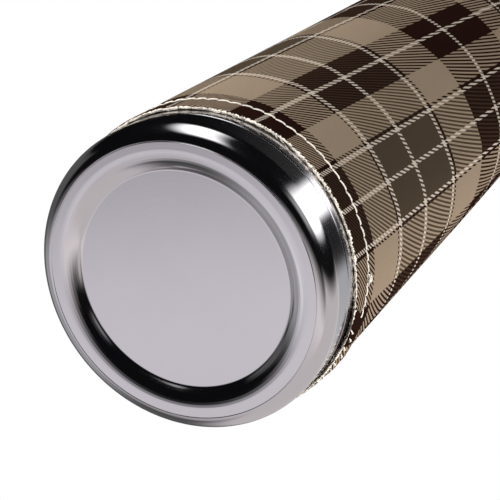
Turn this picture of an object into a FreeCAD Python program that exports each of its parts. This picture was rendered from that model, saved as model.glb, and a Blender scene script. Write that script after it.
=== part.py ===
import FreeCAD, Part
import math
import os

# Vacuum flask with a tartan sleeve, a push-button stopper and a screw-on cup.
# Millimetres. The flask stands on its base: the origin is the middle of the ring it
# stands on, and +Z runs up its axis. Closed screw threads are at their zero turn.

V = FreeCAD.Vector

# ---- driving dimensions ------------------------------------------------------------
SLEEVE_R = 38.0          # outside of the sleeve: the widest part of the flask
SLEEVE_T = 0.85          # printed cloth with its backing
SHELL_R = 37.1           # outside of the steel
TOTAL_H = 288.0          # standing height, cup on
NECK_TOP = 238.0         # lip of the bottle
SHOULDER_Z = 217.0       # outer edge of the ledge under the cup

# base cup
RECESS_R = 26.4          # floor of the recess
FOOT_R0 = 29.0           # where the recess's wall would meet the table if it weren't rounded
FOOT_FILLET = 7.0
FOOT_R1 = 33.3           # crease at the outer edge of the ring it stands on
CREASE = 0.10
RECESS_H = 2.05
CUP_WALL = 0.8
HEEL_RISE = 0.80         # the heel starts a little steeper than the foot ring
HEEL_FILLET = 4.0
JOINT_Z = 10.3           # line where the base cup meets the shell
JOINT_GAP = 0.2

# shell and bottle
SHELL_T = 0.6
LAP_R = 36.2             # shell's lower end, necked in to slide inside the base cup
LAP_Z = 6.0
WELD_Z = 206.0           # weld between tube and neck, under the sleeve
BOTTLE_R = 34.3
BOTTLE_T = 0.5
BOTTLE_Z = 12.5          # underside of the bottle's floor
BOTTLE_NECK_R = 26.0
NECK_R = 31.5            # outside of the shell's neck
LEDGE_RISE = 1.5

# sleeve
SLEEVE_Z0 = 13.8
SLEEVE_Z1 = 212.0
HEM = 7.2                # hem stitches to the sleeve's edge
SEAM_AT = 24.0            # degrees round from +X
THREAD_D = 0.45

# screw threads, both right-handed
PITCH = 4.0
THREAD_ROOT_W = 2.0
THREAD_CREST_W = 1.1
NECK_THREAD_H = 1.2
NECK_THREAD_Z = 226.0
STOPPER_THREAD_H = 1.1
STOPPER_THREAD_Z = 224.0
MALE_TURNS = 1.0
FEMALE_TURNS = 0.75

# cup
CUP_R = 36.4
CUP_TOP_R = 35.2
CUP_T = 0.6
CUP_FILLET = 7.0
RING_Z0 = 219.2
RING_Z1 = 221.9
RING_R = 36.6
LINER_T = 2.2
LINER_BORE = 33.3
SNUG = 0.1               # clearance between glued or clipped pieces

# stopper
PLUG_R = 24.0
PLUG_BORE = 21.4
PLUG_Z = 208.0
PLUG_FLOOR = 2.5
VALVE_HOLE_R = 9.0
FLANGE_R = 29.6
FLANGE_Z = 239.5
FLANGE_T = 3.5
COLLAR_R = 27.1
COLLAR_H = 4.0
COVER_R = 28.8
COVER_T = 1.6
COVER_Z1 = 257.0
COVER_TOP_T = 2.0
SPOUT_W = 20.0
SPOUT_H = 3.4
BUTTON_R = 13.0
BUTTON_Z1 = 260.0
BUTTON_GAP = 0.3
DISH = 0.8               # how far the middle of the button is dished
BUTTON_FLANGE_R = 15.0
STEM_R = 3.04
GUIDE_BORE = 3.1
GUIDE_R = 5.6
GUIDE_Z0 = 224.0
SEAT_R = 10.5
SEAT_Z = 228.0           # top of the seat the spring stands on
SCREW_R = 1.3
HEAD_R = 12.0
HEAD_Z = 201.5
HEAD_T = 4.0
SEAL_R0 = 9.6
SPRING_R = 8.2
SPRING_WIRE = 0.9
SPRING_TURNS = 6
TAB_W = 11.2
TAB_Z0 = 247.9
TAB_H = 6.2
TAB_PROUD = 1.1
TAB_GAP = 0.4


# ---- helpers -----------------------------------------------------------------------
def rounded_wire(corners):
    """Closed wire in the XZ plane through (r, z) or (r, z, fillet) corners."""
    count = len(corners)
    points = [V(c[0], 0, c[1]) for c in corners]
    starts, ends, mids = [], [], []
    for i, corner in enumerate(corners):
        here = points[i]
        fillet = corner[2] if len(corner) > 2 else 0.0
        to_last = (points[i - 1] - here).normalize()
        to_next = (points[(i + 1) % count] - here).normalize()
        if fillet:
            half = to_last.getAngle(to_next) / 2
            reach = fillet / math.tan(half)
            bisector = (to_last + to_next).normalize()
            starts.append(here + to_last * reach)
            ends.append(here + to_next * reach)
            mids.append(here + bisector * (fillet / math.sin(half) - fillet))
        else:
            starts.append(here)
            ends.append(here)
            mids.append(None)
    edges = []
    for i in range(count):
        if mids[i]:
            edges.append(Part.Arc(starts[i], mids[i], ends[i]).toShape())
        after = starts[(i + 1) % count]
        if (after - ends[i]).Length > 1e-6:
            edges.append(Part.LineSegment(ends[i], after).toShape())
    return Part.Wire(edges)


def turned(corners):
    """Solid of revolution about Z from rounded (r, z) corners."""
    face = Part.Face(rounded_wire(corners))
    return face.revolve(V(0, 0, 0), V(0, 0, 1), 360)


def ring(inner, outer, z0, z1, fillet=0.0):
    """Round ring with a rectangular section and rounded edges."""
    return turned([(inner, z0, fillet), (outer, z0, fillet), (outer, z1, fillet), (inner, z1, fillet)])


def block(x0, x1, y0, y1, z0, z1):
    """Box between two corners."""
    return Part.makeBox(x1 - x0, y1 - y0, z1 - z0, V(x0, y0, z0))


def thread(wall_r, height, z_start, turns, outward):
    """Right-handed screw ridge that stands on a round wall and is sunk a little into it."""
    sink = 0.15
    way = 1 if outward else -1
    root = wall_r - way * sink
    crest = wall_r + way * height
    helix = Part.makeHelix(PITCH, PITCH * turns, wall_r)
    section = Part.makePolygon([
        V(root, 0, -THREAD_ROOT_W / 2), V(crest, 0, -THREAD_CREST_W / 2),
        V(crest, 0, THREAD_CREST_W / 2), V(root, 0, THREAD_ROOT_W / 2),
        V(root, 0, -THREAD_ROOT_W / 2)])
    ridge = Part.Wire(helix).makePipeShell([section], True, True)
    ridge.translate(V(0, 0, z_start))
    return ridge


def joined(first, *others):
    """One solid from pieces that overlap."""
    return first.fuse(list(others)).Solids[0]


# ---- base and vacuum bottle --------------------------------------------------------
def base_cup():
    """Polished cup over the bottom: recessed floor, foot ring and rounded heel."""
    t = CUP_WALL
    top = JOINT_Z - JOINT_GAP / 2
    return turned([
        (0, RECESS_H), (RECESS_R, RECESS_H, 0.9), (FOOT_R0, 0, FOOT_FILLET),
        (FOOT_R1 - CREASE, 0), (FOOT_R1, CREASE), (FOOT_R1 + CREASE, 0.02),
        (SHELL_R, HEEL_RISE, HEEL_FILLET), (SHELL_R, top, 0.25), (SHELL_R - t, top),
        (SHELL_R - t, HEEL_RISE + t, HEEL_FILLET - t), (FOOT_R1, t),
        (FOOT_R0 + 0.28, t, FOOT_FILLET - t), (RECESS_R + 0.28, RECESS_H + t, 0.9 + t), (0, RECESS_H + t)])


def vacuum_base():
    """Pressed plate welded into the shell's lower end; it closes the vacuum space."""
    rim = LAP_R - SHELL_T - 0.05
    return turned([
        (1.2, 7.4), (27.0, 7.4, 2.0), (31.0, LAP_Z, 2.0), (rim, LAP_Z, 1.0), (rim, 10.0),
        (rim - 0.6, 10.0), (rim - 0.6, LAP_Z + 0.6, 0.4), (31.2, LAP_Z + 0.6, 1.6),
        (27.2, 8.0, 1.6), (1.2, 8.0)])


def exhaust_seal():
    """Bead of braze that seals the hole the air was pumped out through."""
    return turned([
        (0, 6.2), (2.7, 6.2, 0.9), (2.7, 7.35), (1.15, 7.35), (1.15, 8.7), (0, 8.7)])


def getter():
    """Tablet that takes up the last gas, spot-welded to the base plate in a tin cup."""
    tablet = turned([(0, 8.05), (5.0, 8.05), (5.0, 10.2, 0.4), (4.2, 10.2), (4.2, 9.8), (0, 9.8)])
    tablet.translate(V(16, 0, 0))
    return tablet


def outer_shell():
    """Drawn steel tube with a necked-in lower lap that slides inside the base cup."""
    t = SHELL_T
    z0 = JOINT_Z + JOINT_GAP / 2
    return turned([
        (LAP_R, LAP_Z), (LAP_R, z0), (SHELL_R, z0, 0.25), (SHELL_R, WELD_Z), (SHELL_R - t, WELD_Z),
        (SHELL_R - t, z0 + 2.0, 0.5), (LAP_R - t, z0 + 0.4, 0.5), (LAP_R - t, LAP_Z)])


def shoulder_neck():
    """Upper end of the shell, welded to the tube: ledge under the cup and threaded neck."""
    t = SHELL_T
    ledge = SHOULDER_Z + LEDGE_RISE
    lip = BOTTLE_NECK_R + 0.05
    wall = turned([
        (SHELL_R, WELD_Z), (SHELL_R, SHOULDER_Z, 3.0), (NECK_R, ledge, 0.5),
        (NECK_R, NECK_TOP, 2.6), (lip, NECK_TOP), (lip, NECK_TOP - t),
        (NECK_R - t, NECK_TOP - t, 2.0), (NECK_R - t, ledge - t, 1.0),
        (SHELL_R - t, SHOULDER_Z - t, 2.4), (SHELL_R - t, WELD_Z)])
    return joined(wall, thread(NECK_R, NECK_THREAD_H, NECK_THREAD_Z, MALE_TURNS, True))


def inner_bottle():
    """Steel bottle that holds the drink, with the stopper's thread inside its neck."""
    t = BOTTLE_T
    inner = BOTTLE_NECK_R - t
    wall = turned([
        (0, BOTTLE_Z), (BOTTLE_R, BOTTLE_Z, 7.0), (BOTTLE_R, 203.0, 9.0), (BOTTLE_NECK_R, 213.0, 5.0),
        (BOTTLE_NECK_R, NECK_TOP), (inner, NECK_TOP), (inner, 212.8, 5.5),
        (BOTTLE_R - t, 202.8, 8.5), (BOTTLE_R - t, BOTTLE_Z + t, 6.5), (0, BOTTLE_Z + t)])
    start = STOPPER_THREAD_Z + PITCH / 2
    return joined(wall, thread(inner, STOPPER_THREAD_H, start, FEMALE_TURNS, False))


def radiation_foil():
    """Copper foil round the bottle, which sends radiant heat back."""
    return ring(BOTTLE_R + 0.15, BOTTLE_R + 0.35, 22.0, 196.0)


# ---- sleeve ------------------------------------------------------------------------
def plaid_sleeve():
    """Printed tartan cloth wrapped round the shell and closed by a seam SEAM_AT degrees round from +X."""
    return ring(SLEEVE_R - SLEEVE_T, SLEEVE_R, SLEEVE_Z0, SLEEVE_Z1, 0.2)


def hem_thread(z):
    """Line of hem stitches round the sleeve, as one fine ring."""
    return ring(SLEEVE_R + 0.02, SLEEVE_R + 0.02 + THREAD_D * 0.75, z - THREAD_D / 2, z + THREAD_D / 2)


def seam_thread():
    """Line of stitches down the sleeve's seam, between the two hems."""
    x0 = SLEEVE_R + 0.02
    z0 = SLEEVE_Z0 + HEM + 1.0
    z1 = SLEEVE_Z1 - HEM - 1.0
    line = block(x0, x0 + THREAD_D * 0.75, -THREAD_D / 2, THREAD_D / 2, z0, z1)
    line.rotate(V(0, 0, 0), V(0, 0, 1), SEAM_AT)
    return line


# ---- cup ---------------------------------------------------------------------------
def cup_ring():
    """Ring that covers the raw steel edge at the cup's mouth."""
    return ring(LINER_BORE + 0.2, RING_R, RING_Z0, RING_Z1, 0.6)


def cup_shell():
    """Steel outside of the cup, slightly narrower towards the top."""
    z0 = RING_Z1 + 0.05
    t = CUP_T
    return turned([
        (0, TOTAL_H), (CUP_TOP_R, TOTAL_H, CUP_FILLET), (CUP_R, z0), (CUP_R - t, z0),
        (CUP_TOP_R - t, TOTAL_H - t, CUP_FILLET - t), (0, TOTAL_H - t)])


def cup_liner():
    """Moulded inside of the cup, with the thread that takes the flask's neck."""
    z0 = RING_Z1 + 0.05
    top = TOTAL_H - CUP_T - SNUG
    outer_top = CUP_TOP_R - CUP_T - SNUG
    wall = turned([
        (0, top), (outer_top, top, CUP_FILLET - CUP_T), (CUP_R - CUP_T - SNUG, z0, 0.0),
        (LINER_BORE, z0, 0.5), (LINER_BORE, NECK_TOP + 4.0, 3.0),
        (outer_top - LINER_T, top - LINER_T, CUP_FILLET - 1.5), (0, top - LINER_T)])
    start = NECK_THREAD_Z - PITCH / 2
    return joined(wall, thread(LINER_BORE, NECK_THREAD_H, start, FEMALE_TURNS, False))


# ---- stopper -----------------------------------------------------------------------
def stopper_gasket():
    """Silicone ring that seals the stopper's flange against the lip."""
    return ring(25.4, 29.2, NECK_TOP + 0.05, FLANGE_Z - 0.05, 0.5)


def stopper_body():
    """Screw-in plug: valve hole in its floor, guide for the stem, and pouring collar."""
    collar_top = FLANGE_Z + FLANGE_T + COLLAR_H
    plug = turned([
        (VALVE_HOLE_R, PLUG_Z, 0.4), (PLUG_R, PLUG_Z, 1.5), (PLUG_R, FLANGE_Z), (FLANGE_R, FLANGE_Z, 0.8),
        (FLANGE_R, FLANGE_Z + FLANGE_T, 0.8), (COLLAR_R, FLANGE_Z + FLANGE_T), (COLLAR_R, collar_top),
        (COLLAR_R - 1.8, collar_top), (COLLAR_R - 1.8, FLANGE_Z + 1.5, 1.0), (PLUG_BORE, FLANGE_Z - 3.0),
        (PLUG_BORE, PLUG_Z + PLUG_FLOOR, 1.0), (VALVE_HOLE_R, PLUG_Z + PLUG_FLOOR, 0.4)])
    guide = ring(GUIDE_BORE, GUIDE_R, GUIDE_Z0, SEAT_Z + 6.0, 0.3)
    seat = ring(GUIDE_R - 0.5, SEAT_R, SEAT_Z - 2.0, SEAT_Z)
    spokes = []
    for turn in (45, 135, 225, 315):
        spoke = block(GUIDE_R - 0.5, PLUG_BORE + 0.5, -1.5, 1.5, GUIDE_Z0 + 0.5, SEAT_Z - 0.5)
        spoke.rotate(V(0, 0, 0), V(0, 0, 1), turn)
        spokes.append(spoke)
    screw = thread(PLUG_R, STOPPER_THREAD_H, STOPPER_THREAD_Z, MALE_TURNS, True)
    body = joined(plug, guide, seat, *spokes).cut(spout_cutter()).Solids[0]
    return joined(body, screw)


def spout_cutter():
    """Two facing openings that the drink is poured through, above the flange."""
    z0 = FLANGE_Z + FLANGE_T + 0.3
    reach = FLANGE_R + 1.0
    return block(-SPOUT_W / 2, SPOUT_W / 2, -reach, reach, z0, z0 + SPOUT_H)


def stopper_cover():
    """Cap clipped over the collar; it holds the button and the two release tabs."""
    z0 = FLANGE_Z + FLANGE_T + 0.05
    t = COVER_T
    bore = COLLAR_R + 0.1
    shell = turned([
        (bore, z0), (COVER_R, z0), (COVER_R, COVER_Z1, 3.0), (BUTTON_R + BUTTON_GAP, COVER_Z1, 0.5),
        (BUTTON_R + BUTTON_GAP, COVER_Z1 - COVER_TOP_T), (bore, COVER_Z1 - COVER_TOP_T, 1.5)])
    half = TAB_W / 2 + TAB_GAP
    tab_hole = block(-COVER_R - t, COVER_R + t, -half, half, TAB_Z0 - TAB_GAP, TAB_Z0 + TAB_H + TAB_GAP)
    return shell.cut(spout_cutter()).cut(tab_hole).Solids[0]


def release_tab(side):
    """Side tab that lets the pressed button up: pad, shoulder inside the cover, latch arm."""
    outer = COVER_R + TAB_PROUD
    half = TAB_W / 2
    pad_stock = ring(COVER_R - 3.6, outer, TAB_Z0, TAB_Z0 + TAB_H, 0.6)
    pad = pad_stock.common(block(0, outer + 1, -half, half, TAB_Z0 - 1, TAB_Z0 + TAB_H + 1))
    shoulder_r = COLLAR_R - 0.3
    shoulder_stock = ring(COVER_R - 4.4, shoulder_r, TAB_Z0 - 0.6, TAB_Z0 + TAB_H)
    wide = half + 1.8
    shoulder = shoulder_stock.common(
        block(0, outer, -wide, wide, TAB_Z0 - 0.6, TAB_Z0 + TAB_H))
    arm = block(BUTTON_FLANGE_R + 2.2, COVER_R - 3.0, -2.0, 2.0, TAB_Z0 - 0.6, TAB_Z0 + 0.9)
    tab = joined(pad, shoulder, arm)
    if side < 0:
        tab.rotate(V(0, 0, 0), V(0, 0, 1), 180)
    return tab


# ---- button and valve --------------------------------------------------------------
def push_button():
    """Button with a dished top, a flange that stops it in the cover, and a boss for the stem."""
    under = COVER_Z1 - COVER_TOP_T - 0.05
    cap = turned([
        (0, BUTTON_Z1 - DISH), (6.0, BUTTON_Z1 - DISH, 8.0), (11.0, BUTTON_Z1, 0.8),
        (BUTTON_R, BUTTON_Z1, 1.0), (BUTTON_R, under), (BUTTON_FLANGE_R, under),
        (BUTTON_FLANGE_R, under - 1.5, 0.3), (BUTTON_R - 1.6, under - 1.5),
        (BUTTON_R - 1.6, BUTTON_Z1 - 2.4, 0.8), (0, BUTTON_Z1 - 2.4)])
    boss = ring(STEM_R + 0.01, 5.2, BUTTON_Z1 - 9.0, BUTTON_Z1 - 2.2)
    return joined(cap, boss)


def valve_stem():
    """Rod from the button down to the valve, bored at its lower end for a screw."""
    z0 = HEAD_Z + HEAD_T - 1.5
    return turned([
        (SCREW_R, z0), (STEM_R, z0), (STEM_R, BUTTON_Z1 - 2.45, 0.4), (0, BUTTON_Z1 - 2.45),
        (0, z0 + 12.0), (SCREW_R, z0 + 12.0)])


def valve_head():
    """Disc that closes the valve hole from below, with a hub inside the seal."""
    top = HEAD_Z + HEAD_T
    return turned([
        (SCREW_R + 0.1, HEAD_Z), (HEAD_R, HEAD_Z, 1.2), (HEAD_R, top, 0.3), (SEAL_R0 - 0.05, top),
        (SEAL_R0 - 0.05, PLUG_Z - 0.5, 0.5), (STEM_R + 0.05, PLUG_Z - 0.5), (STEM_R + 0.05, top - 1.55),
        (SCREW_R + 0.1, top - 1.55)])


def valve_seal():
    """Silicone ring on the valve head, pressed up against the plug's floor."""
    return ring(SEAL_R0, HEAD_R - 0.1, HEAD_Z + HEAD_T + 0.05, PLUG_Z - 0.05, 0.5)


def valve_screw():
    """Screw that holds the valve head on the stem."""
    head_z = HEAD_Z - 0.05
    screw = turned([
        (0, head_z - 1.8), (2.9, head_z - 1.8, 0.7), (2.9, head_z), (SCREW_R - 0.1, head_z),
        (SCREW_R - 0.1, head_z + 11.0, 0.4), (0, head_z + 11.0)])
    slot = block(-4, 4, -0.4, 0.4, head_z - 2.0, head_z - 1.1)
    return screw.cut(slot).Solids[0]


def button_spring():
    """Wire spring that lifts the button, standing on the plug's seat."""
    wire = SPRING_WIRE / 2
    z0 = SEAT_Z + wire + 0.05
    z1 = BUTTON_Z1 - 2.4 - wire - 0.05
    helix = Part.makeHelix((z1 - z0) / SPRING_TURNS, z1 - z0, SPRING_R)
    section = Part.Wire(Part.makeCircle(wire, V(SPRING_R, 0, 0), V(0, 1, 0)))
    coil = Part.Wire(helix).makePipeShell([section], True, True)
    coil.translate(V(0, 0, z0))
    return coil


NODES = {
    "base_cup": base_cup(),
    "vacuum_base": vacuum_base(),
    "exhaust_seal": exhaust_seal(),
    "getter": getter(),
    "outer_shell": outer_shell(),
    "shoulder_neck": shoulder_neck(),
    "inner_bottle": inner_bottle(),
    "radiation_foil": radiation_foil(),
    "plaid_sleeve": plaid_sleeve(),
    "hem_thread_lower": hem_thread(SLEEVE_Z0 + HEM),
    "hem_thread_upper": hem_thread(SLEEVE_Z1 - HEM),
    "seam_thread": seam_thread(),
    "cup_ring": cup_ring(),
    "cup_shell": cup_shell(),
    "cup_liner": cup_liner(),
    "stopper_gasket": stopper_gasket(),
    "stopper_body": stopper_body(),
    "stopper_cover": stopper_cover(),
    "release_tab_right": release_tab(1),
    "release_tab_left": release_tab(-1),
    "push_button": push_button(),
    "valve_stem": valve_stem(),
    "valve_head": valve_head(),
    "valve_seal": valve_seal(),
    "valve_screw": valve_screw(),
    "button_spring": button_spring(),
}

os.makedirs("parts", exist_ok=True)
for name, shape in NODES.items():
    box = shape.BoundBox
    print(name, shape.ShapeType, len(shape.Solids), "valid", shape.isValid(),
          "volume %.1f" % shape.Volume, "z %.2f to %.2f" % (box.ZMin, box.ZMax))
    shape.exportStep("parts/%s.step" % name)
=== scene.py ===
"""Looks of the vacuum flask: polished base, stitched tartan sleeve, steel cup and stopper."""

import math

import bpy
import numpy as np
from mathutils import Matrix, Vector


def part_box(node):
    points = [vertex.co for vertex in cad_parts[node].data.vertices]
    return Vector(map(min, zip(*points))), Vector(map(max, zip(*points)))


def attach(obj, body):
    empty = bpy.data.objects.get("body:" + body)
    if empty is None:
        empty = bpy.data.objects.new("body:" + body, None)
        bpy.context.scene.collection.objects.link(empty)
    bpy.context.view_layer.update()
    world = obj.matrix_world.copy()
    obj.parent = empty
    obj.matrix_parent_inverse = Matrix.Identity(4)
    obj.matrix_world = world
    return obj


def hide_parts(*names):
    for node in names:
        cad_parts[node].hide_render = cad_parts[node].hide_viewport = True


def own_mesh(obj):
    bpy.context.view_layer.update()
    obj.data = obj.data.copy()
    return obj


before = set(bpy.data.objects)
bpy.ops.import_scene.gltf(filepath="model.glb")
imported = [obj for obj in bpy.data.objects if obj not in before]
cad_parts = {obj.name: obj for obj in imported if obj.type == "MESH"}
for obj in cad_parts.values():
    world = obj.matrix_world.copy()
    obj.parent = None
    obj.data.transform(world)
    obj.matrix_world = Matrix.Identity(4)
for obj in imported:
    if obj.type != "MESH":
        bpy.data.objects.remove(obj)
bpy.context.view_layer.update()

MM = 0.001
TAU = 2 * math.pi
rng = np.random.default_rng(12)

# ---- sizes, read from the frame ------------------------------------------------------
SLEEVE_LOW, SLEEVE_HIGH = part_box("plaid_sleeve")
SLEEVE_R = SLEEVE_HIGH.x
SLEEVE_Z0, SLEEVE_Z1 = SLEEVE_LOW.z, SLEEVE_HIGH.z
SLEEVE_L = SLEEVE_Z1 - SLEEVE_Z0
SLEEVE_T = 0.85 * MM                      # thickness of the cloth
SHELL_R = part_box("outer_shell")[1].x
SHELL_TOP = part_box("outer_shell")[1].z
BASE_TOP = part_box("base_cup")[1].z
HEM_Z = [sum(corner.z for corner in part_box(name)) / 2
         for name in ("hem_thread_lower", "hem_thread_upper")]
JOINT_LOW = BASE_TOP + 0.2 * MM           # the fine joint between base cup and shell
LAP_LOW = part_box("outer_shell")[0].z      # the shell goes on inside the base cup
CUP_LOW, CUP_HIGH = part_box("cup_shell")
RING_LOW, RING_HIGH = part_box("cup_ring")

# ---- the base's section, the same as the CAD part's ----------------------------------
BASE_WALL = 0.8 * MM
RECESS_R = 26.4 * MM
RECESS_H = 2.05 * MM
FOOT_R0 = 29.0 * MM
FOOT_FILLET = 7.0 * MM
FOOT_R1 = 33.3 * MM
CREASE = 0.10 * MM
HEEL_RISE = 0.80 * MM
HEEL_FILLET = 4.0 * MM
INNER_SHIFT = 0.28 * MM   # how far the recess's inner face is set out from its outer one

# ---- shell, cup and spring -----------------------------------------------------------
SHELL_T = 0.6 * MM
LAP_R = 36.2 * MM         # outside of the shell's end, inside the base cup
CUP_R = CUP_HIGH.x
CUP_TOP_R = CUP_R - 1.2 * MM
CUP_T = 0.6 * MM
CUP_FILLET = 7.0 * MM
RING_BORE = 33.5 * MM
SPRING_WIRE = 0.9 * MM
SPRING_TURNS = 6

# ---- sleeve --------------------------------------------------------------------------
COLUMNS = 620             # points round the cloth
SEAM_AT = 24.0            # degrees round from +X to the outer end of the cloth
LAP_DEG = 16.0            # how far the outer end of the cloth lies over the inner end
LAP_FADE_DEG = 12.0
LAP_RISE = 0.38 * MM      # both ends are thinned where they overlap
CORNER_DEG = 34.0         # the outer end's lower corner, cut on a slant, reaches back this far
CORNER_H = 13.0 * MM
CORNER_DROP = 0.7 * MM    # it hangs a little below the rest of the edge
CORNER_PINCH = 0.55 * MM  # and is pinched in
HEM_DIP = 0.14 * MM       # the hem's stitches pull the cloth in and pucker it
PUCKER = 0.04 * MM
SEAM_DIP = 0.12 * MM      # the seam's stitches pull the outer end down
INNER_DIP = 0.10 * MM     # the inner end is pulled flat before it goes under
EDGE_LIFT = 0.07 * MM     # the cut edges stand off a little, and are chamfered
EDGE_CHAMFER = 0.42 * MM
# soft folds that run up the cloth: azimuth and half width in degrees, height in mm
FOLDS = [(-93, 6, 0.42), (-64, 11, 0.40), (-27, 7, 0.42), (28, 10, 0.30), (62, 9, 0.42),
         (98, 12, 0.34), (131, 8, 0.40), (168, 11, 0.32), (205, 8, 0.42), (238, 10, 0.34)]

# ---- stitches ------------------------------------------------------------------------
STITCH_PITCH = 2.9 * MM
THREAD_R = 0.18 * MM
THREAD_TWIST = math.pi / (1.1 * MM)            # half a turn every 1.1 mm
FIBRE_R = 0.045 * MM
SEAM_DEG = math.degrees(2.6 * MM / SLEEVE_R)   # the seam's stitches, from the cloth's outer end


# ======================================================================================
# mesh helpers
# ======================================================================================
def rounded(corners, step_deg=6.0):
    """Points of a closed profile through (r, z) or (r, z, fillet) corners, with round stretches as arcs."""
    count = len(corners)
    spots = [Vector(c[:2]) for c in corners]
    out = []
    for i, corner in enumerate(corners):
        fillet = corner[2] if len(corner) > 2 else 0.0
        here = spots[i]
        if not fillet:
            out.append(here)
            continue
        back = (spots[i - 1] - here).normalized()
        ahead = (spots[(i + 1) % count] - here).normalized()
        half = back.angle(ahead) / 2
        centre = here + (back + ahead).normalized() * (fillet / math.sin(half))
        start = here + back * (fillet / math.tan(half)) - centre
        end = here + ahead * (fillet / math.tan(half)) - centre
        turn = start.angle_signed(end)
        steps = max(3, math.ceil(abs(math.degrees(turn)) / step_deg))
        for k in range(steps + 1):
            out.append(centre + Matrix.Rotation(-turn * k / steps, 2) @ start)
    return out


def supported(points, near=0.12 * MM, longest=2.0 * MM):
    """The profile with extra points beside its corners, which keep flat stretches flat when shaded smooth."""
    out = []
    for here, after in zip(points, points[1:] + points[:1]):
        length = (after - here).length
        out.append(here)
        if length > 4 * near and not (here.x < 1e-7 and after.x < 1e-7):
            inner = max(1, math.ceil((length - 2 * near) / longest))
            for k in range(inner + 1):
                out.append(here.lerp(after, (near + (length - 2 * near) * k / inner) / length))
    return out


def new_object(name, verts, faces, body, sharp_deg=35.0):
    """Smooth-shaded mesh object that moves with body."""
    mesh = bpy.data.meshes.new(name)
    mesh.from_pydata(verts, [], faces)
    mesh.shade_smooth()
    mesh.set_sharp_from_angle(angle=math.radians(sharp_deg))
    made = bpy.data.objects.new(name, mesh)
    bpy.context.scene.collection.objects.link(made)
    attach(made, body)
    return made


def lathe(name, corners, body, segments=256):
    """Closed solid of revolution about Z from rounded (r, z) corners."""
    profile = supported(rounded(corners))
    verts, rows = [], []
    for point in profile:
        if point.x < 1e-7:
            rows.append([len(verts)] * segments)
            verts.append((0, 0, point.y))
        else:
            rows.append(list(range(len(verts), len(verts) + segments)))
            for k in range(segments):
                angle = TAU * k / segments
                verts.append((point.x * math.cos(angle), point.x * math.sin(angle), point.y))
    faces = []
    for low, high in zip(rows, rows[1:] + rows[:1]):
        if low[0] == low[1] and high[0] == high[1]:
            continue
        for k in range(segments):
            after = (k + 1) % segments
            corners_of = (low[k], low[after], high[after], high[k])
            face = [v for i, v in enumerate(corners_of) if v != corners_of[i - 1]]
            if len(face) > 2:
                faces.append(face)
    return new_object(name, verts, faces, body)


def tube(points, radius, sides=8, lobes=0.0, twist=0.0):
    """Vertices and faces of a closed tube; lobes and twist make it look like two twisted strands."""
    points = [Vector(p) for p in points]
    count = len(points)
    verts, faces = [], []
    length = 0.0
    up = Vector((0, 0, 1))
    for i, point in enumerate(points):
        ahead = (points[min(i + 1, count - 1)] - points[max(i - 1, 0)]).normalized()
        if abs(ahead.dot(up)) > 0.9:
            up = Vector((1, 0, 0))
        side = ahead.cross(up).normalized()
        top = side.cross(ahead)
        up = top
        if i:
            length += (point - points[i - 1]).length
        size = radius[i] if hasattr(radius, "__len__") else radius
        for k in range(sides):
            angle = TAU * k / sides
            r = size * (1 + lobes * math.cos(2 * (angle - twist * length)))
            verts.append(point + side * (r * math.cos(angle)) + top * (r * math.sin(angle)))
    for i in range(count - 1):
        for k in range(sides):
            after = (k + 1) % sides
            faces.append((i * sides + k, i * sides + after, (i + 1) * sides + after, (i + 1) * sides + k))
    faces.append(tuple(reversed(range(sides))))
    faces.append(tuple(range((count - 1) * sides, count * sides)))
    return verts, faces


def merged(name, parts, body, sharp_deg=60.0):
    """One object from many (verts, faces) parts."""
    verts, faces = [], []
    for part_verts, part_faces in parts:
        base = len(verts)
        verts.extend(part_verts)
        faces.extend([tuple(base + i for i in face) for face in part_faces])
    return new_object(name, verts, faces, body, sharp_deg)


def smooth(x):
    """0 below 0, 1 above 1, smooth between."""
    x = np.clip(x, 0.0, 1.0)
    return x * x * (3 - 2 * x)


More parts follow.
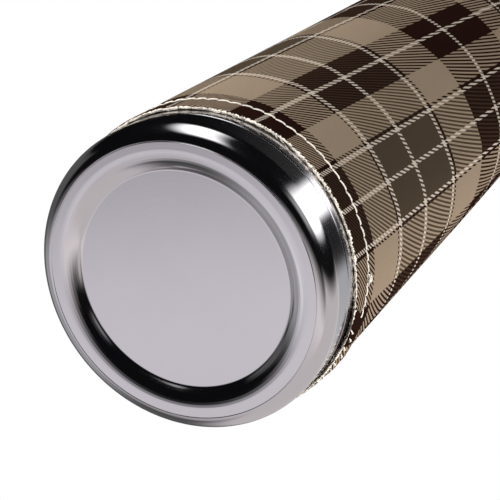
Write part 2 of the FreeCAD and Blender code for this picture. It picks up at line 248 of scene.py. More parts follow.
# ======================================================================================
# material helpers
# ======================================================================================
class Graph:
    """Short names for the nodes of one material or world."""

    def __init__(self, owner):
        owner.use_nodes = True
        self.tree = owner.node_tree
        self.tree.nodes.clear()

    def node(self, kind, inputs=None, **settings):
        made = self.tree.nodes.new("ShaderNode" + kind)
        for key, value in settings.items():
            setattr(made, key, value)
        for key, value in (inputs or {}).items():
            self.put(made.inputs[key], value)
        return made

    def put(self, socket, value):
        if isinstance(value, bpy.types.NodeSocket):
            self.tree.links.new(value, socket)
        elif isinstance(value, tuple) and len(value) == 3 and socket.type == "RGBA":
            socket.default_value = (*value, 1.0)
        else:
            socket.default_value = value

    def math(self, operation, *values, clamp=False):
        return self.node("Math", dict(enumerate(values)), operation=operation, use_clamp=clamp).outputs[0]

    def vector(self, x=0.0, y=0.0, z=0.0):
        return self.node("CombineXYZ", {0: x, 1: y, 2: z}).outputs[0]

    def split(self, vector):
        return self.node("SeparateXYZ", {0: vector}).outputs

    def mix(self, share, first, second):
        made = self.node("Mix", data_type="RGBA")
        for socket, value in ((made.inputs[0], share), (made.inputs[6], first), (made.inputs[7], second)):
            self.put(socket, value)
        return made.outputs[2]

    def step(self, value, low, high):
        """0 below low, 1 above high, smooth between."""
        return self.node("MapRange", {"Value": value, "From Min": low, "From Max": high},
                         interpolation_type="SMOOTHSTEP").outputs[0]

    def band(self, value, low, high, soft):
        """1 between low and high, with soft edges."""
        rise = self.step(value, low - soft, low + soft)
        fall = self.step(value, high - soft, high + soft)
        return self.math("SUBTRACT", rise, fall, clamp=True)

    def spread(self, value, low, high):
        """A 0 to 1 value remapped to low to high."""
        return self.node("MapRange", {"Value": value, "To Min": low, "To Max": high}).outputs[0]

    def noise(self, vector, scale, detail=2.0, roughness=0.5, w=None):
        settings = {"noise_dimensions": "4D"} if w is not None else {}
        inputs = {"Vector": vector, "Scale": scale, "Detail": detail, "Roughness": roughness}
        if w is not None:
            inputs["W"] = w
        return self.node("TexNoise", inputs, **settings).outputs[0]

    def bump(self, height, distance, normal=None):
        inputs = {"Height": height, "Distance": distance}
        if normal is not None:
            inputs["Normal"] = normal
        return self.node("Bump", inputs).outputs[0]

    def scaled(self, vector, factor):
        return self.node("VectorMath", {0: vector, "Scale": factor}, operation="SCALE").outputs[0]

    def added(self, first, second):
        return self.node("VectorMath", {0: first, 1: second}, operation="ADD").outputs[0]

    def away_from_axis(self, x, y):
        return self.math("SQRT", self.math("ADD", self.math("MULTIPLY", x, x), self.math("MULTIPLY", y, y)))

    def inverse(self, value):
        return self.math("SUBTRACT", 1.0, value)

    def surface(self, **inputs):
        shader = self.node("BsdfPrincipled", {key.replace("_", " "): value for key, value in inputs.items()})
        self.node("OutputMaterial", {"Surface": shader.outputs[0]})


def material(name):
    """New material and its graph."""
    made = bpy.data.materials.new(name)
    return made, Graph(made)


def round_lines(g, fine, along=3.0):
    """Noise drawn out round the Z axis, as turning and brushing leave it."""
    x, y, z = g.split(g.node("TexCoord").outputs["Object"])
    radius = g.away_from_axis(x, y)
    turn = g.math("ARCTAN2", y, x)
    across = g.vector(g.math("MULTIPLY", g.math("COSINE", turn), along),
                      g.math("MULTIPLY", g.math("SINE", turn), along),
                      g.math("MULTIPLY", radius, fine))
    return g.noise(across, 1.0, 3.0, 0.6, w=g.math("MULTIPLY", z, fine))


def steel(name, colour, roughness, groove, fine, wave=0.0):
    """Steel with grooves round the axis, slightly uneven gloss, and a faint waviness from pressing."""
    made, g = material(name)
    lines = round_lines(g, fine)
    spots = g.noise(g.node("TexCoord").outputs["Object"], 60.0, 4.0, 0.6)
    gloss = g.math("ADD", g.spread(lines, roughness * 0.75, roughness * 1.25), g.spread(spots, -0.02, 0.03))
    normal = g.bump(lines, groove)
    if wave:
        slow = g.noise(g.node("TexCoord").outputs["Object"], 35.0, 1.0, 0.4)
        normal = g.bump(slow, wave, normal=normal)
    tint = g.mix(spots, tuple(c * 0.95 for c in colour), tuple(min(1.0, c * 1.04) for c in colour))
    g.surface(Base_Color=tint, Metallic=1.0, Roughness=gloss, Normal=normal)
    return made


def moulded(name, colour, roughness, grain=900.0, depth=0.03 * MM, coat=0.0):
    """Moulded plastic or silicone with a fine spark-eroded grain and soft colour variation."""
    made, g = material(name)
    place = g.node("TexCoord").outputs["Object"]
    fine = g.noise(place, grain, 3.0, 0.6)
    slow = g.noise(place, 45.0, 3.0, 0.5)
    tint = g.mix(slow, tuple(c * 0.82 for c in colour), tuple(min(1.0, c * 1.15) for c in colour))
    gloss = g.math("ADD", g.spread(fine, roughness - 0.08, roughness + 0.08), g.spread(slow, -0.05, 0.05))
    g.surface(Base_Color=tint, Roughness=gloss, Normal=g.bump(fine, depth), Coat_Weight=coat)
    return made


def thread_material(name, colour):
    """Twisted thread with a soft sheen."""
    made, g = material(name)
    place = g.node("TexCoord").outputs["Object"]
    fibres = g.noise(place, 5200.0, 2.0, 0.7)
    slow = g.noise(place, 260.0, 2.0, 0.5)
    tint = g.mix(slow, tuple(c * 0.8 for c in colour), colour)
    g.surface(Base_Color=tint, Roughness=g.spread(fibres, 0.5, 0.75),
              Normal=g.bump(fibres, 0.05 * MM), Sheen_Weight=0.2)
    return made


# ---- tartan --------------------------------------------------------------------------
TAN = (0.258, 0.197, 0.140)
BROWN = (0.0118, 0.0040, 0.0029)
OLIVE = (0.054, 0.0395, 0.0260)
WHITE = (0.50, 0.435, 0.365)
RAW = (0.86, 0.81, 0.72)
SETT = 61.5 * MM                   # the pattern's repeat round the flask
ACROSS_START = 41.2 * MM           # middle of the first brown stripe, from the cloth's outer end
BROWN_HALF = 6.7 * MM
LEAN = 0.055                       # the stripes along the flask wind round it a little
BROWN_COVER = 0.62                 # where brown crosses olive the brown covers more
HATCH = 1.25 * MM                  # pitch of the diagonal lines where two colours cross
HATCH_CURL = 14 * MM               # they lie flatter within this height of the lower hem
HATCH_TURN = 120 * MM              # and turn towards the flask's axis further up
STRETCH = 2.0                      # the cloth's pattern is drawn out along the flask
WEAVE = 0.42 * MM                  # pitch of the weave's relief
BOW_AT = math.radians(302 - SEAM_AT)   # the stripes round the flask are lowest here
BOW = 0.34                             # how fast they rise on either side of it
BOW_LIMIT = 0.8                        # the rise levels off further round
BOW_MOST = 60 * MM                     # and doesn't grow above this height
RAW_LIGHT = (0.80, 0.74, 0.64)
RAW_BROWN = (0.13, 0.085, 0.065)
RAW_GAP = (0.07, 0.045, 0.035)
START_U = (2 * MM, 7 * MM)         # the cut edge fades from brown to pale here
END_U = (208 * MM, 218 * MM)       # and back to brown here


def stripes(g, place, bands, soft):
    """Colour along place: each (from, to, colour) band in mm is laid over those before it, on brown."""
    colour = BROWN
    for low, high, shade in bands:
        colour = g.mix(g.band(place, low * MM, high * MM, soft), colour, shade)
    return colour


def warp_stripes(g, u, v):
    """Stripes that run along the flask."""
    start = g.math("SUBTRACT", g.math("SUBTRACT", u, g.math("MULTIPLY", v, LEAN)), ACROSS_START)
    turns = g.math("DIVIDE", g.math("ADD", start, BROWN_HALF), SETT)
    spot = g.math("SUBTRACT", g.math("MULTIPLY", g.math("FRACT", turns), SETT), BROWN_HALF)
    warp = stripes(g, spot, [
        (8.0, 17.7, TAN), (19.0, 39.6, OLIVE), (41.0, 999.0, TAN),
        (18.6, 19.7, WHITE), (28.4, 29.5, WHITE), (39.0, 40.1, WHITE)], 0.05 * MM)
    # every other brown stripe has a line down its middle
    second = g.math("LESS_THAN", g.math("FRACT", g.math("DIVIDE", turns, 2.0)), 0.5)
    middle = g.band(spot, -0.55 * MM, 0.55 * MM, 0.05 * MM)
    return g.mix(g.math("MULTIPLY", second, middle), warp, WHITE)


def weft_stripes(g, u, v_worn):
    """Stripes that run round the flask, drawn out along it and bowed."""
    off = g.math("SUBTRACT", g.math("DIVIDE", u, SLEEVE_R), BOW_AT)
    away = g.inverse(g.math("COSINE", off))
    bow = g.math("DIVIDE", g.math("MULTIPLY", away, BOW),
                 g.math("ADD", 1.0, g.math("DIVIDE", away, BOW_LIMIT)))
    along = g.math("MAXIMUM", g.math("DIVIDE", v_worn, g.math("ADD", 1.0, bow)),
                   g.math("SUBTRACT", v_worn, g.math("MULTIPLY", bow, BOW_MOST)))
    return stripes(g, along, [
        (11.2, 105.5, TAN), (28.2, 31.4, BROWN), (30.3, 75.4, OLIVE), (75.4, 78.2, BROWN),
        (159.5, 9999.0, TAN), (178.4, 182.0, BROWN), (181.0, 9999.0, OLIVE),
        (29.2, 31.2, WHITE), (49.2, 51.2, WHITE), (74.2, 76.3, WHITE), (127.0, 129.2, WHITE),
        (180.2, 182.2, WHITE)], 0.09 * MM)


def hatching(g, u, v):
    """0 where the warp's colour shows and 1 where the weft's does, in fine diagonal lines."""
    curl = g.math("MULTIPLY", g.math("EXPONENT", g.math("DIVIDE", v, -HATCH_CURL)), -0.7 * HATCH_CURL)
    steeper = g.math("ARCTANGENT", g.math("DIVIDE", v, HATCH_TURN))
    rise = g.math("ADD", g.math("MULTIPLY", steeper, HATCH_TURN / STRETCH), curl)
    phase = g.math("DIVIDE", g.math("SUBTRACT", u, rise), HATCH)
    return g.step(g.math("SINE", g.math("MULTIPLY", phase, TAU)), -0.25, 0.25)


def tartan_material():
    """Printed tartan: solid where a colour crosses itself and hatched where two colours cross."""
    made, g = material("tartan_cloth")
    u, v, _ = g.split(g.node("UVMap", uv_map="cloth").outputs[0])
    wobble = g.noise(g.vector(u, v), 90.0, 2.0, 0.5)
    warp = warp_stripes(g, g.math("ADD", u, g.spread(wobble, -0.12 * MM, 0.12 * MM)), v)
    weft = weft_stripes(g, u, g.math("ADD", v, g.spread(wobble, -0.25 * MM, 0.25 * MM)))
    print_colour = g.mix(hatching(g, u, v), warp, weft)
    warp_red, weft_red = g.split(warp)[0], g.split(weft)[0]
    both_dark = g.inverse(g.step(g.math("MAXIMUM", warp_red, weft_red), 0.07, 0.20))
    has_brown = g.inverse(g.step(g.math("MINIMUM", warp_red, weft_red), 0.012, 0.045))
    covered = g.math("MULTIPLY", g.math("MULTIPLY", both_dark, has_brown), BROWN_COVER)
    print_colour = g.mix(covered, print_colour, BROWN)
    # raw edges, wear and weave
    frayed = g.noise(g.vector(u, v), 1500.0, 3.0, 0.7)
    reach = g.spread(frayed, -0.7 * MM, 1.1 * MM)
    inside = g.math("MINIMUM", v, g.math("SUBTRACT", SLEEVE_L, v))
    colour = g.mix(g.math("GREATER_THAN", reach, inside), print_colour, RAW)
    slow = g.noise(g.vector(u, v), 55.0, 4.0, 0.6)
    colour = g.mix(g.spread(slow, 0.0, 0.02), colour, TAN)
    mottle = g.noise(g.vector(u, v), 950.0, 3.0, 0.7)
    colour = g.mix(g.spread(mottle, 0.0, 0.12), colour, BROWN)
    warp_wave = g.math("SINE", g.math("MULTIPLY", g.math("ADD", u, v), TAU / WEAVE))
    weft_wave = g.math("SINE", g.math("MULTIPLY", g.math("SUBTRACT", u, v), TAU / WEAVE))
    normal = g.bump(g.math("MULTIPLY", warp_wave, weft_wave), 0.012 * MM)
    normal = g.bump(g.noise(g.vector(u, v), 700.0, 4.0, 0.65), 0.12 * MM, normal=normal)
    g.surface(Base_Color=colour, Roughness=g.spread(frayed, 0.6, 0.8), Normal=normal,
              Specular_IOR_Level=0.0)
    return made


def raw_material():
    """Cut edge of the cloth: pale fibres with darker gaps."""
    made, g = material("raw_cloth_edge")
    place = g.node("TexCoord").outputs["Object"]
    fibres = g.noise(place, 2600.0, 3.0, 0.7)
    clumps = g.noise(place, 700.0, 2.0, 0.6)
    share = g.step(g.math("ADD", fibres, g.math("MULTIPLY", clumps, 0.8)), 0.72, 1.0)
    # brown with pale specks near both ends of the cloth, where they overlap
    u = g.split(g.node("UVMap", uv_map="cloth").outputs[0])[0]
    lapped = g.math("MAXIMUM", g.inverse(g.step(u, *START_U)), g.step(u, *END_U))
    pale = g.mix(g.math("MULTIPLY", lapped, g.step(fibres, 0.66, 0.48)), RAW_LIGHT, RAW_BROWN)
    g.surface(Base_Color=g.mix(share, RAW_GAP, pale), Roughness=0.85,
              Normal=g.bump(fibres, 0.25 * MM), Sheen_Weight=0.3)
    return made


def backing_material():
    """Unprinted inside of the cloth."""
    made, g = material("cloth_backing")
    place = g.node("TexCoord").outputs["Object"]
    fibres = g.noise(place, 1800.0, 3.0, 0.7)
    g.surface(Base_Color=g.mix(fibres, (0.35, 0.31, 0.25), (0.6, 0.55, 0.46)), Roughness=0.9,
              Normal=g.bump(fibres, 0.2 * MM))
    return made


# ======================================================================================
# base and shell
# ======================================================================================
polished = steel("polished_steel", (0.74, 0.72, 0.745), 0.10, 0.0035 * MM, 1500.0, wave=0.02 * MM)
shell_band = steel("shell_steel", (0.72, 0.70, 0.735), 0.15, 0.003 * MM, 9000.0)
brushed = steel("brushed_steel", (0.62, 0.60, 0.62), 0.30, 0.008 * MM, 9000.0)
satin = steel("inner_steel", (0.60, 0.59, 0.58), 0.32, 0.004 * MM, 5000.0)

base = lathe("base_cup_visual", [
    (0, RECESS_H), (RECESS_R, RECESS_H, 0.9 * MM), (FOOT_R0, 0, FOOT_FILLET),
    (FOOT_R1 - CREASE, 0, 0.1 * MM), (FOOT_R1, CREASE), (FOOT_R1 + CREASE, 0.02 * MM, 0.1 * MM),
    (SHELL_R, HEEL_RISE, HEEL_FILLET), (SHELL_R, BASE_TOP, 0.25 * MM), (SHELL_R - BASE_WALL, BASE_TOP),
    (SHELL_R - BASE_WALL, HEEL_RISE + BASE_WALL, HEEL_FILLET - BASE_WALL), (FOOT_R1, BASE_WALL),
    (FOOT_R0 + INNER_SHIFT, BASE_WALL, FOOT_FILLET - BASE_WALL),
    (RECESS_R + INNER_SHIFT, RECESS_H + BASE_WALL, 1.7 * MM), (0, RECESS_H + BASE_WALL)], "flask")
base.data.materials.append(polished)
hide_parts("base_cup")

wall = lathe("outer_shell_visual", [
    (LAP_R, LAP_LOW), (LAP_R, JOINT_LOW), (SHELL_R, JOINT_LOW, 0.25 * MM), (SHELL_R, SHELL_TOP),
    (SHELL_R - SHELL_T, SHELL_TOP), (SHELL_R - SHELL_T, JOINT_LOW + 2.0 * MM, 0.5 * MM),
    (LAP_R - SHELL_T, JOINT_LOW + 0.4 * MM, 0.5 * MM), (LAP_R - SHELL_T, LAP_LOW)], "flask")
wall.data.materials.append(shell_band)
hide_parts("outer_shell")


# ======================================================================================
# sleeve
# ======================================================================================
def sleeve_radius(turn_deg, z):
    """Outside radius of the cloth, turn_deg from its outer end, at height z."""
    turn, z = np.broadcast_arrays(turn_deg, z)
    azimuth = (turn + SEAM_AT + 180) % 360 - 180
    up = np.clip((z - SLEEVE_Z0) / SLEEVE_L, 0, 1)
    extra = np.zeros(turn.shape)
    for at, width, height in FOLDS:
        off = (azimuth - at - 3 * np.sin(at + 5 * up) + 180) % 360 - 180
        extra += height * MM * np.exp(-(off / width) ** 2) * (0.7 + 0.3 * np.sin(at + 7 * up))
    extra *= smooth((z - SLEEVE_Z0) / (20 * MM)) * smooth((SLEEVE_Z1 - z) / (20 * MM)) * 0.9 + 0.1
    # the outer end lies over the inner end, and its lower corner over the whole cloth
    lap = 1 - smooth((turn - LAP_DEG) / LAP_FADE_DEG)
    extra += lap * LAP_RISE + smooth(-turn / 6) * (SLEEVE_T - LAP_RISE + 0.05 * MM)
    extra -= smooth((turn - 352) / 8) * (SLEEVE_T - LAP_RISE + 0.03 * MM)
    extra -= CORNER_PINCH * smooth(-turn / 6) * (1 - smooth((z - SLEEVE_Z0) / (3.5 * MM)))
    # cloth pulled in along both rows of hem stitches, and lifted a little at the edges
    for row, edge in zip(HEM_Z, (SLEEVE_Z0, SLEEVE_Z1)):
        extra -= HEM_DIP * np.exp(-((z - row) / (1.5 * MM)) ** 2)
        pucker = np.cos(TAU * SLEEVE_R * np.radians(turn) / STITCH_PITCH)
        extra += PUCKER * pucker * np.exp(-((z - row) / (1.1 * MM)) ** 2)
        extra += EDGE_LIFT * np.exp(-((z - edge) / (2.2 * MM)) ** 2) * (1 + np.sin(np.radians(turn) * 9))
        extra -= EDGE_CHAMFER * (1 - smooth(np.abs(z - edge) / (0.6 * MM)))
    extra -= SEAM_DIP * np.exp(-((turn - SEAM_DEG) / 1.5) ** 2)
    off = np.where(turn > 180, turn - 352, 99)
    extra -= INNER_DIP * np.exp(-(off / 6.0) ** 2)
    return SLEEVE_R + extra


def edge_ripple(turn_deg, seed):
    """How far the cut edge strays from a straight cut."""
    local = np.random.default_rng(seed)
    out = np.zeros(np.shape(turn_deg))
    for waves in (3, 7, 16, 37, 83, 151, 239):
        out += 0.16 * MM / math.sqrt(waves / 3) * np.sin(np.radians(turn_deg) * waves + local.uniform(0, TAU))
    return out


def sleeve_faces(heights, inner_rows):
    """Faces of the cloth and their finishes: 0 printed, 1 raw edge, 2 backing."""
    first_in = len(heights) * COLUMNS
    top, top_in = first_in - COLUMNS, first_in + (len(inner_rows) - 1) * COLUMNS
    faces, kinds = [], []
    for row in range(len(heights) - 1):
        for col in range(COLUMNS - 1):
            a = row * COLUMNS + col
            faces.append((a, a + 1, a + COLUMNS + 1, a + COLUMNS))
            kinds.append(0)
    for row in range(len(inner_rows) - 1):
        for col in range(COLUMNS - 1):
            a = first_in + row * COLUMNS + col
            faces.append((a, a + COLUMNS, a + COLUMNS + 1, a + 1))
            kinds.append(2)
    for col in range(COLUMNS - 1):
        faces.append((first_in + col, first_in + col + 1, col + 1, col))
        faces.append((top + col, top + col + 1, top_in + col + 1, top_in + col))
        kinds += [1, 1]
    for col, flip in ((0, False), (COLUMNS - 1, True)):
        for k in range(len(inner_rows) - 1):
            strip = [row * COLUMNS + col for row in range(inner_rows[k], inner_rows[k + 1] + 1)]
            strip += [first_in + (k + 1) * COLUMNS + col, first_in + k * COLUMNS + col]
            faces.append(tuple(strip if flip else reversed(strip)))
            kinds.append(1 if heights[inner_rows[k]] < 9 * MM else 0)
    return faces, kinds


def make_sleeve():
    """The cloth: one sheet wrapped round the shell, with a slanted corner at its outer end."""
    ends = 14 * MM
    low = np.linspace(0, ends, 30)
    mid = np.linspace(ends, SLEEVE_L - ends, 70)[1:-1]
    v = np.concatenate([low, mid, SLEEVE_L - low[::-1]])
    share, out_v = np.meshgrid(np.linspace(0.0, 1.0, COLUMNS), v)
    back = CORNER_DEG * (1 - smooth(out_v / CORNER_H))
    turn = share * (360.0 + LAP_DEG + back) - back
    z = SLEEVE_Z0 + out_v
    z = z + edge_ripple(turn, 3) * (1 - smooth(out_v / (3 * MM)))
    z = z + edge_ripple(turn, 4) * (1 - smooth((SLEEVE_L - out_v) / (3 * MM)))
    outer = sleeve_radius(turn, z)
    z = z - CORNER_DROP * smooth(-turn / 5) * (1 - smooth(out_v / (4 * MM)))
    # the inside has every fourth row, and the cloth is thinner at its corner and cut edges
    inner_rows = sorted({*range(0, len(v), 4), len(v) - 1})
    thick = SLEEVE_T * (1 - 0.25 * smooth(-turn[inner_rows] / 4))
    edge_near = np.minimum(out_v, SLEEVE_L - out_v)[inner_rows]
    thick = thick * (1 - 0.6 * (1 - smooth(edge_near / (2 * MM))))
    inner = np.maximum(outer[inner_rows] - thick, SHELL_R + 0.02 * MM)
    inner = np.minimum(inner, outer[inner_rows] - 0.15 * MM)
    rows = np.concatenate([np.arange(len(v)), inner_rows])
    radius, angle, z = np.concatenate([outer, inner]), np.radians(turn + SEAM_AT)[rows], z[rows]
    points = np.stack([radius * np.cos(angle), radius * np.sin(angle), z], -1).reshape(-1, 3)
    faces, kinds = sleeve_faces(v, inner_rows)
    made = new_object("sleeve", points.tolist(), faces, "flask", 50.0)
    uv = np.stack([np.radians(turn)[rows] * SLEEVE_R, out_v[rows]], -1).reshape(-1, 2)
    layer = made.data.uv_layers.new(name="cloth")
    loops = np.empty(len(made.data.loops), np.int32)
    made.data.loops.foreach_get("vertex_index", loops)
    layer.data.foreach_set("uv", uv[loops].reshape(-1))
    for finish in (tartan_material(), raw_material(), backing_material()):
        made.data.materials.append(finish)
    made.data.polygons.foreach_set("material_index", np.array(kinds, np.int32))
    return made


sleeve = make_sleeve()
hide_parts("plaid_sleeve")


# ---- stitches ------------------------------------------------------------------------
def on_cloth(turn_deg, z, lift=0.0):
    """Point on the cloth's outside, turn_deg from its outer end, at height z."""
    radius = float(sleeve_radius(np.array(turn_deg), np.array(z))) + lift
    angle = math.radians(turn_deg + SEAM_AT)
    return Vector((radius * math.cos(angle), radius * math.sin(angle), z))


def stitch(turn_deg, z, along_deg, along_z, arch):
    """One stitch centred on turn_deg, z: up through the cloth, in an arch over it and down again."""
    points = []
    for k in range(11):
        s = k / 10 * 2 - 1
        rise = arch * (1 - abs(s) ** 3.0) - THREAD_R * 1.5 * abs(s) ** 7
        points.append(on_cloth(turn_deg + along_deg * s / 2, z + along_z * s / 2, rise + THREAD_R * 0.5))
    return tube(points, THREAD_R, 10, lobes=0.14, twist=THREAD_TWIST)


def thread_object(name, parts):
    """Object of cream thread from many tubes."""
    made = merged(name, parts, "flask")
    made.data.materials.append(cream)
    return made


def hem_row(name, z, replaced):
    """Row of stitches round the flask."""
    pitch_deg = math.degrees(STITCH_PITCH / SLEEVE_R)
    count = round(360 / pitch_deg)
    parts = []
    for k in range(count):
        at = 0.7 + (k + 0.5) * 360 / count
        jitter = rng.uniform(-1, 1, 3)
        parts.append(stitch(at + 0.10 * jitter[0], z + 0.10 * MM * jitter[1],
                            360 / count * 0.96, (0.26 + 0.12 * jitter[2]) * MM, 0.06 * MM))
    made = thread_object(name, parts)
    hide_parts(replaced)


cream = thread_material("cream_thread", (0.86, 0.80, 0.70))
hem_row("hem_stitches_lower", HEM_Z[0], "hem_thread_lower")
hem_row("hem_stitches_upper", HEM_Z[1], "hem_thread_upper")


def seam_row():
    """Row of stitches up the seam."""
    z0, z1 = HEM_Z[0] + 1.6 * MM, HEM_Z[1] - 1.6 * MM
    count = round((z1 - z0) / STITCH_PITCH)
    pitch = (z1 - z0) / count
    lean = math.degrees(0.35 * MM / SLEEVE_R)
    parts = []
    for k in range(count):
        jitter = rng.uniform(-1, 1, 2)
        parts.append(stitch(SEAM_DEG + 0.08 * jitter[0], z0 + (k + 0.5) * pitch, lean, pitch * 0.9,
                            (0.27 + 0.03 * jitter[1]) * MM))
    made = thread_object("seam_stitches", parts)
    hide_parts("seam_thread")


seam_row()


def corner_tack():
    """Stitches that hold the outer end's lower corner down."""
    parts = [stitch(-3.5 - 3.6 * k, SLEEVE_Z0 + (0.2 + 0.5 * (k % 2)) * MM, 1.9, 0.9 * MM, 0.30 * MM)
             for k in range(7)]
    made = thread_object("corner_tack", parts)


corner_tack()


def thread_knot(turn_deg, z):
    """Where the hem's thread is tied off: a small loop standing off the cloth, its knot and two ends."""
    loop_r = 0.95 * MM
    centre = on_cloth(turn_deg, z + 0.5 * MM, 0.55 * MM)
    out = Vector((centre.x, centre.y, 0)).normalized()
    side = Vector((-out.y, out.x, 0))

    def place(across, height, off):
        return centre + side * across + Vector((0, 0, height)) + out * off

    def piece(points, radius, sides=8, lobes=0.16, twist=THREAD_TWIST):
        parts.append(tube(points, radius, sides, lobes=lobes, twist=twist))

    parts = []
    piece([place(loop_r * math.cos(a), loop_r * 0.75 * math.sin(a), 0.18 * MM * math.sin(2 * a))
           for a in np.linspace(0, TAU * 1.04, 30)], THREAD_R * 0.95)
    for sign in (-1, 1):
        piece([place(loop_r * sign * (0.7 + 0.9 * s), (-0.7 - 0.8 * s) * MM,
                     0.3 * MM * (math.sin(3 * s) - 0.9)) for s in np.linspace(0, 1, 8)], THREAD_R * 0.9)
    steps = np.linspace(0, 1, 9)
    piece([place((s - 0.5) * 1.3 * MM, -0.9 * MM, 0.25 * MM * math.sin(math.pi * s)) for s in steps],
          [THREAD_R * (0.7 + 1.1 * math.sin(math.pi * s)) for s in steps], 10, 0.12, TAU / (0.9 * MM))
    made = thread_object("thread_knot", parts)


thread_knot(318.5, HEM_Z[0])


def fray(name, edge_z, sign, count):
    """Loose fibres along a cut edge of the sleeve."""
    parts = []
    for k in range(count):
        at = 360.0 * (k + rng.uniform(0, 1)) / count
        start = on_cloth(at, edge_z + sign * 0.25 * MM, -rng.uniform(0.05, 0.8) * SLEEVE_T)
        out = Vector((start.x, start.y, 0)).normalized()
        side = Vector((-out.y, out.x, 0))
        reach = rng.uniform(0.30, 0.95) * MM
        bend = rng.normal(0, 1.0)
        lift = rng.uniform(-0.1, 0.45)
        points = [start + Vector((0, 0, -sign * reach * s)) + side * (reach * bend * s * s)
                  + out * (reach * lift * s * s) for s in np.linspace(0, 1, 5)]
        parts.append(tube(points, FIBRE_R, 5))
    made = thread_object(name, parts)


fray("fray_lower", SLEEVE_Z0, 1, 520)
fray("fray_upper", SLEEVE_Z1, -1, 420)


# ======================================================================================
# cup
# ======================================================================================
cup = lathe("cup_shell_visual", [
    (0, CUP_HIGH.z), (CUP_TOP_R, CUP_HIGH.z, CUP_FILLET),
    (CUP_R, CUP_LOW.z, 0.12 * MM), (CUP_R - CUP_T, CUP_LOW.z),
    (CUP_TOP_R - CUP_T, CUP_HIGH.z - CUP_T, CUP_FILLET - CUP_T), (0, CUP_HIGH.z - CUP_T)], "cup")
cup.data.materials.append(brushed)
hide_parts("cup_shell")

ring = lathe("cup_ring_visual", [
    (RING_BORE, RING_LOW.z, 0.5 * MM), (RING_HIGH.x, RING_LOW.z, 0.6 * MM),
    (RING_HIGH.x, RING_HIGH.z, 0.6 * MM), (RING_BORE, RING_HIGH.z, 0.5 * MM)], "cup_lift")
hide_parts("cup_ring")

# ======================================================================================
# finishes of the CAD nodes that stay
# ======================================================================================
cup_plastic = moulded("cup_plastic", (0.022, 0.019, 0.017), 0.48)
stopper_plastic = moulded("stopper_plastic", (0.016, 0.014, 0.012), 0.5)
button_plastic = moulded("button_plastic", (0.16, 0.105, 0.06), 0.32, coat=0.2)
silicone = moulded("silicone", (0.55, 0.52, 0.47), 0.55, grain=400.0, depth=0.02 * MM)
spring_steel = steel("spring_steel", (0.70, 0.70, 0.70), 0.2, 0.004 * MM, 12000.0)
copper = steel("copper_foil", (0.78, 0.42, 0.27), 0.3, 0.02 * MM, 1200.0)
braze = steel("braze", (0.55, 0.44, 0.30), 0.45, 0.05 * MM, 1500.0)
ring.data.materials.append(cup_plastic)
FINISHES = {
    "vacuum_base": satin, "exhaust_seal": braze, "getter": satin, "shoulder_neck": brushed,
    "inner_bottle": satin, "radiation_foil": copper, "cup_liner": cup_plastic, "stopper_gasket": silicone,
    "stopper_body": stopper_plastic, "stopper_cover": stopper_plastic, "release_tab_right": button_plastic,
    "release_tab_left": button_plastic, "push_button": button_plastic, "valve_stem": stopper_plastic,
    "valve_head": stopper_plastic, "valve_seal": silicone, "valve_screw": spring_steel}
for node_name, finish in FINISHES.items():
    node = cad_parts[node_name]
    node.data.materials.clear()
    node.data.materials.append(finish)


def make_spring():
    """The button's spring, which on the flask shortens as the button goes down; here a fixed coil of wire
    that moves with the stopper.
    """
    low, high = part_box("button_spring")
    wire = SPRING_WIRE / 2
    coil = high.x - wire
    bottom, top = low.z + wire, high.z - wire
    turns = np.linspace(0, SPRING_TURNS, 60 * SPRING_TURNS + 1)
    points = [(coil * math.cos(TAU * t), coil * math.sin(TAU * t), bottom + (top - bottom) * t / SPRING_TURNS)
              for t in turns]
    made = merged("button_spring_visual", [tube(points, wire, 12)], "stopper")
    made.data.materials.append(spring_steel)
    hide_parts("button_spring")
    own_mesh(made)


make_spring()


# ======================================================================================
# studio
# ======================================================================================
BACKDROP = (0.70, 0.70, 0.71)
AMBIENT = (0.004, 0.004, 0.0045)
CARD_SIDES = [math.radians(89), math.radians(68)]   # the pale card lies towards both of these azimuths
CARD_PINK = (0.735, 0.69, 0.69)
CARD_GREY = (0.65, 0.63, 0.668)
CARD_UPRIGHT = 0.84
# azimuth from, to, elevation from, to, softness in degrees, then brightness and colour
SOFT_BOXES = [
    (-60, -35, -26, 74, 7.0, 2.4, (1.0, 1.0, 1.0)),
    (-60, -35, -50, -30, 8.0, 0.4, (1.0, 1.0, 1.0)),
    (-134, -112, -37, 32, 8.0, 2.0, (1.0, 1.0, 1.0)),
    (8, 125, 52, 74, 8.0, 0.42, (0.95, 0.97, 1.0)),
    (90, 180, -20, 45, 8.0, 0.10, (1.0, 1.0, 1.0)),
    (112, 147, -40, 8, 8.0, 0.30, (0.95, 0.95, 1.0)),
    (-180, 180, 70, 120, 8.0, 0.9, (1.0, 1.0, 1.0))]


def pale_card(g, x, y, azimuth, height):
    """Brightness of the card on one side of the flask, from straight below up to eye level."""
    side = g.math("MINIMUM", *[g.math("ADD", g.math("MULTIPLY", x, math.cos(turn)),
                                      g.math("MULTIPLY", y, math.sin(turn))) for turn in CARD_SIDES])
    # dark straight below, brightest at about 24 degrees from there, then a little darker
    fall = g.math("MULTIPLY", g.spread(g.step(side, 0.06, 0.40), 0.12, 1.14),
                  g.spread(g.step(side, 0.34, 0.58), 1.0, 0.74))
    low = g.math("MULTIPLY", g.math("MULTIPLY", g.step(side, 0.0, 0.05), fall),
                 g.inverse(g.step(height, -42, -18)))
    upright = g.math("MULTIPLY", g.band(azimuth, -4, 88, 8.0), g.band(height, -46, 56, 8.0))
    return g.math("MAXIMUM", low, g.math("MULTIPLY", upright, CARD_UPRIGHT))


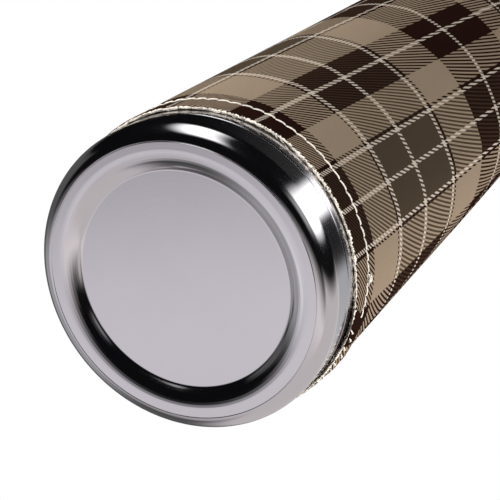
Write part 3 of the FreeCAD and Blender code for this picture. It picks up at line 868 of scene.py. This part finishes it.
def make_world():
    """Pale to the camera; to everything else a dark studio with soft boxes, placed by direction."""
    world = bpy.data.worlds.new("studio")
    bpy.context.scene.world = world
    g = Graph(world)
    x, y, z = g.split(g.node("TexCoord").outputs["Generated"])
    azimuth = g.math("DEGREES", g.math("ARCTAN2", y, x))
    height = g.math("DEGREES", g.math("ARCSINE", z))
    card_colour = g.mix(g.step(azimuth, 60, 130), CARD_PINK, CARD_GREY)
    total = g.scaled(card_colour, pale_card(g, x, y, azimuth, height))
    for az0, az1, el0, el1, soft, power, colour in SOFT_BOXES:
        mask = g.math("MULTIPLY", g.band(azimuth, az0, az1, soft), g.band(height, el0, el1, soft))
        total = g.added(total, g.scaled(tuple(power * c for c in colour), mask))
    total = g.added(total, AMBIENT)
    seen = g.node("LightPath").outputs["Is Camera Ray"]
    backdrop = g.mix(g.step(height, 8, 32), BACKDROP, (1.0, 1.0, 1.0))
    back = g.node("Background", {"Color": g.mix(seen, total, backdrop), "Strength": 1.0})
    g.node("OutputWorld", {"Surface": back.outputs[0]})


make_world()


LIGHT_TARGET = Vector((0, 0, 0.1))


def area_light(name, azimuth, elevation, distance, size, power):
    """Soft light that the steel doesn't mirror, aimed at LIGHT_TARGET."""
    lamp = bpy.data.lights.new(name, "AREA")
    lamp.size = size
    lamp.energy = power
    made = bpy.data.objects.new(name, lamp)
    bpy.context.scene.collection.objects.link(made)
    a, e = math.radians(azimuth), math.radians(elevation)
    way = Vector((math.cos(e) * math.cos(a), math.cos(e) * math.sin(a), math.sin(e)))
    made.location = LIGHT_TARGET + way * distance
    made.rotation_euler = (-way).to_track_quat("-Z", "Y").to_euler()
    made.visible_glossy = False
    made.visible_camera = False


area_light("fill_left", -140, -38, 0.7, 0.45, 5.9)
area_light("fill_edge", 175, -25, 0.7, 0.4, 2.6)
area_light("fill_right", 12, -38, 0.7, 0.45, 5.5)
area_light("top", 60, 60, 0.8, 0.6, 5.0)


def make_floor():
    """Pale floor under the flask; from below it isn't there, because the camera looks up at the base."""
    half = 3.0
    level = -0.1 * MM
    mesh = bpy.data.meshes.new("floor")
    mesh.from_pydata([(-half, -half, level), (half, -half, level), (half, half, level),
                      (-half, half, level)], [], [(0, 1, 2, 3)])
    floor = bpy.data.objects.new("floor", mesh)
    bpy.context.scene.collection.objects.link(floor)
    made, g = material("floor")
    grain = g.noise(g.node("TexCoord").outputs["Object"], 40.0, 3.0, 0.5)
    x, y, _ = g.split(g.node("TexCoord").outputs["Object"])
    far = g.step(g.away_from_axis(x, y), 0.25, 1.6)
    paint = g.node("BsdfPrincipled", {"Base Color": g.mix(grain, (0.78, 0.78, 0.78), (0.82, 0.82, 0.82)),
                                      "Roughness": 0.7})
    haze = g.node("Emission", {"Color": BACKDROP})
    ground = g.node("MixShader", {0: far, 1: paint.outputs[0], 2: haze.outputs[0]})
    clear = g.node("BsdfTransparent", {"Color": (1.0, 1.0, 1.0)})
    under = g.node("NewGeometry").outputs["Backfacing"]
    both = g.node("MixShader", {0: under, 1: ground.outputs[0], 2: clear.outputs[0]})
    g.node("OutputMaterial", {"Surface": both.outputs[0]})
    floor.data.materials.append(made)
    for ray in ("diffuse", "glossy", "transmission", "volume_scatter", "shadow"):
        setattr(floor, "visible_" + ray, False)


make_floor()


def make_camera():
    """Camera below the base, looking up along the flask."""
    place = Vector((89.516, -155.046, -269.433)) * MM
    way = Vector((-0.24365, 0.44569, 0.86139)).normalized()
    up = Vector((-0.42072, -0.84881, 0.32018))
    right = way.cross(up).normalized()
    up = right.cross(way).normalized()
    data = bpy.data.cameras.new("camera")
    data.sensor_width = 36.0
    data.lens = 102.55
    data.clip_start = 0.01
    data.clip_end = 20.0
    made = bpy.data.objects.new("camera", data)
    bpy.context.scene.collection.objects.link(made)
    turn = Matrix((right, up, -way)).transposed().to_4x4()
    made.matrix_world = Matrix.Translation(place) @ turn
    bpy.context.scene.camera = made


make_camera()
bpy.context.scene.view_settings.view_transform = "Standard"
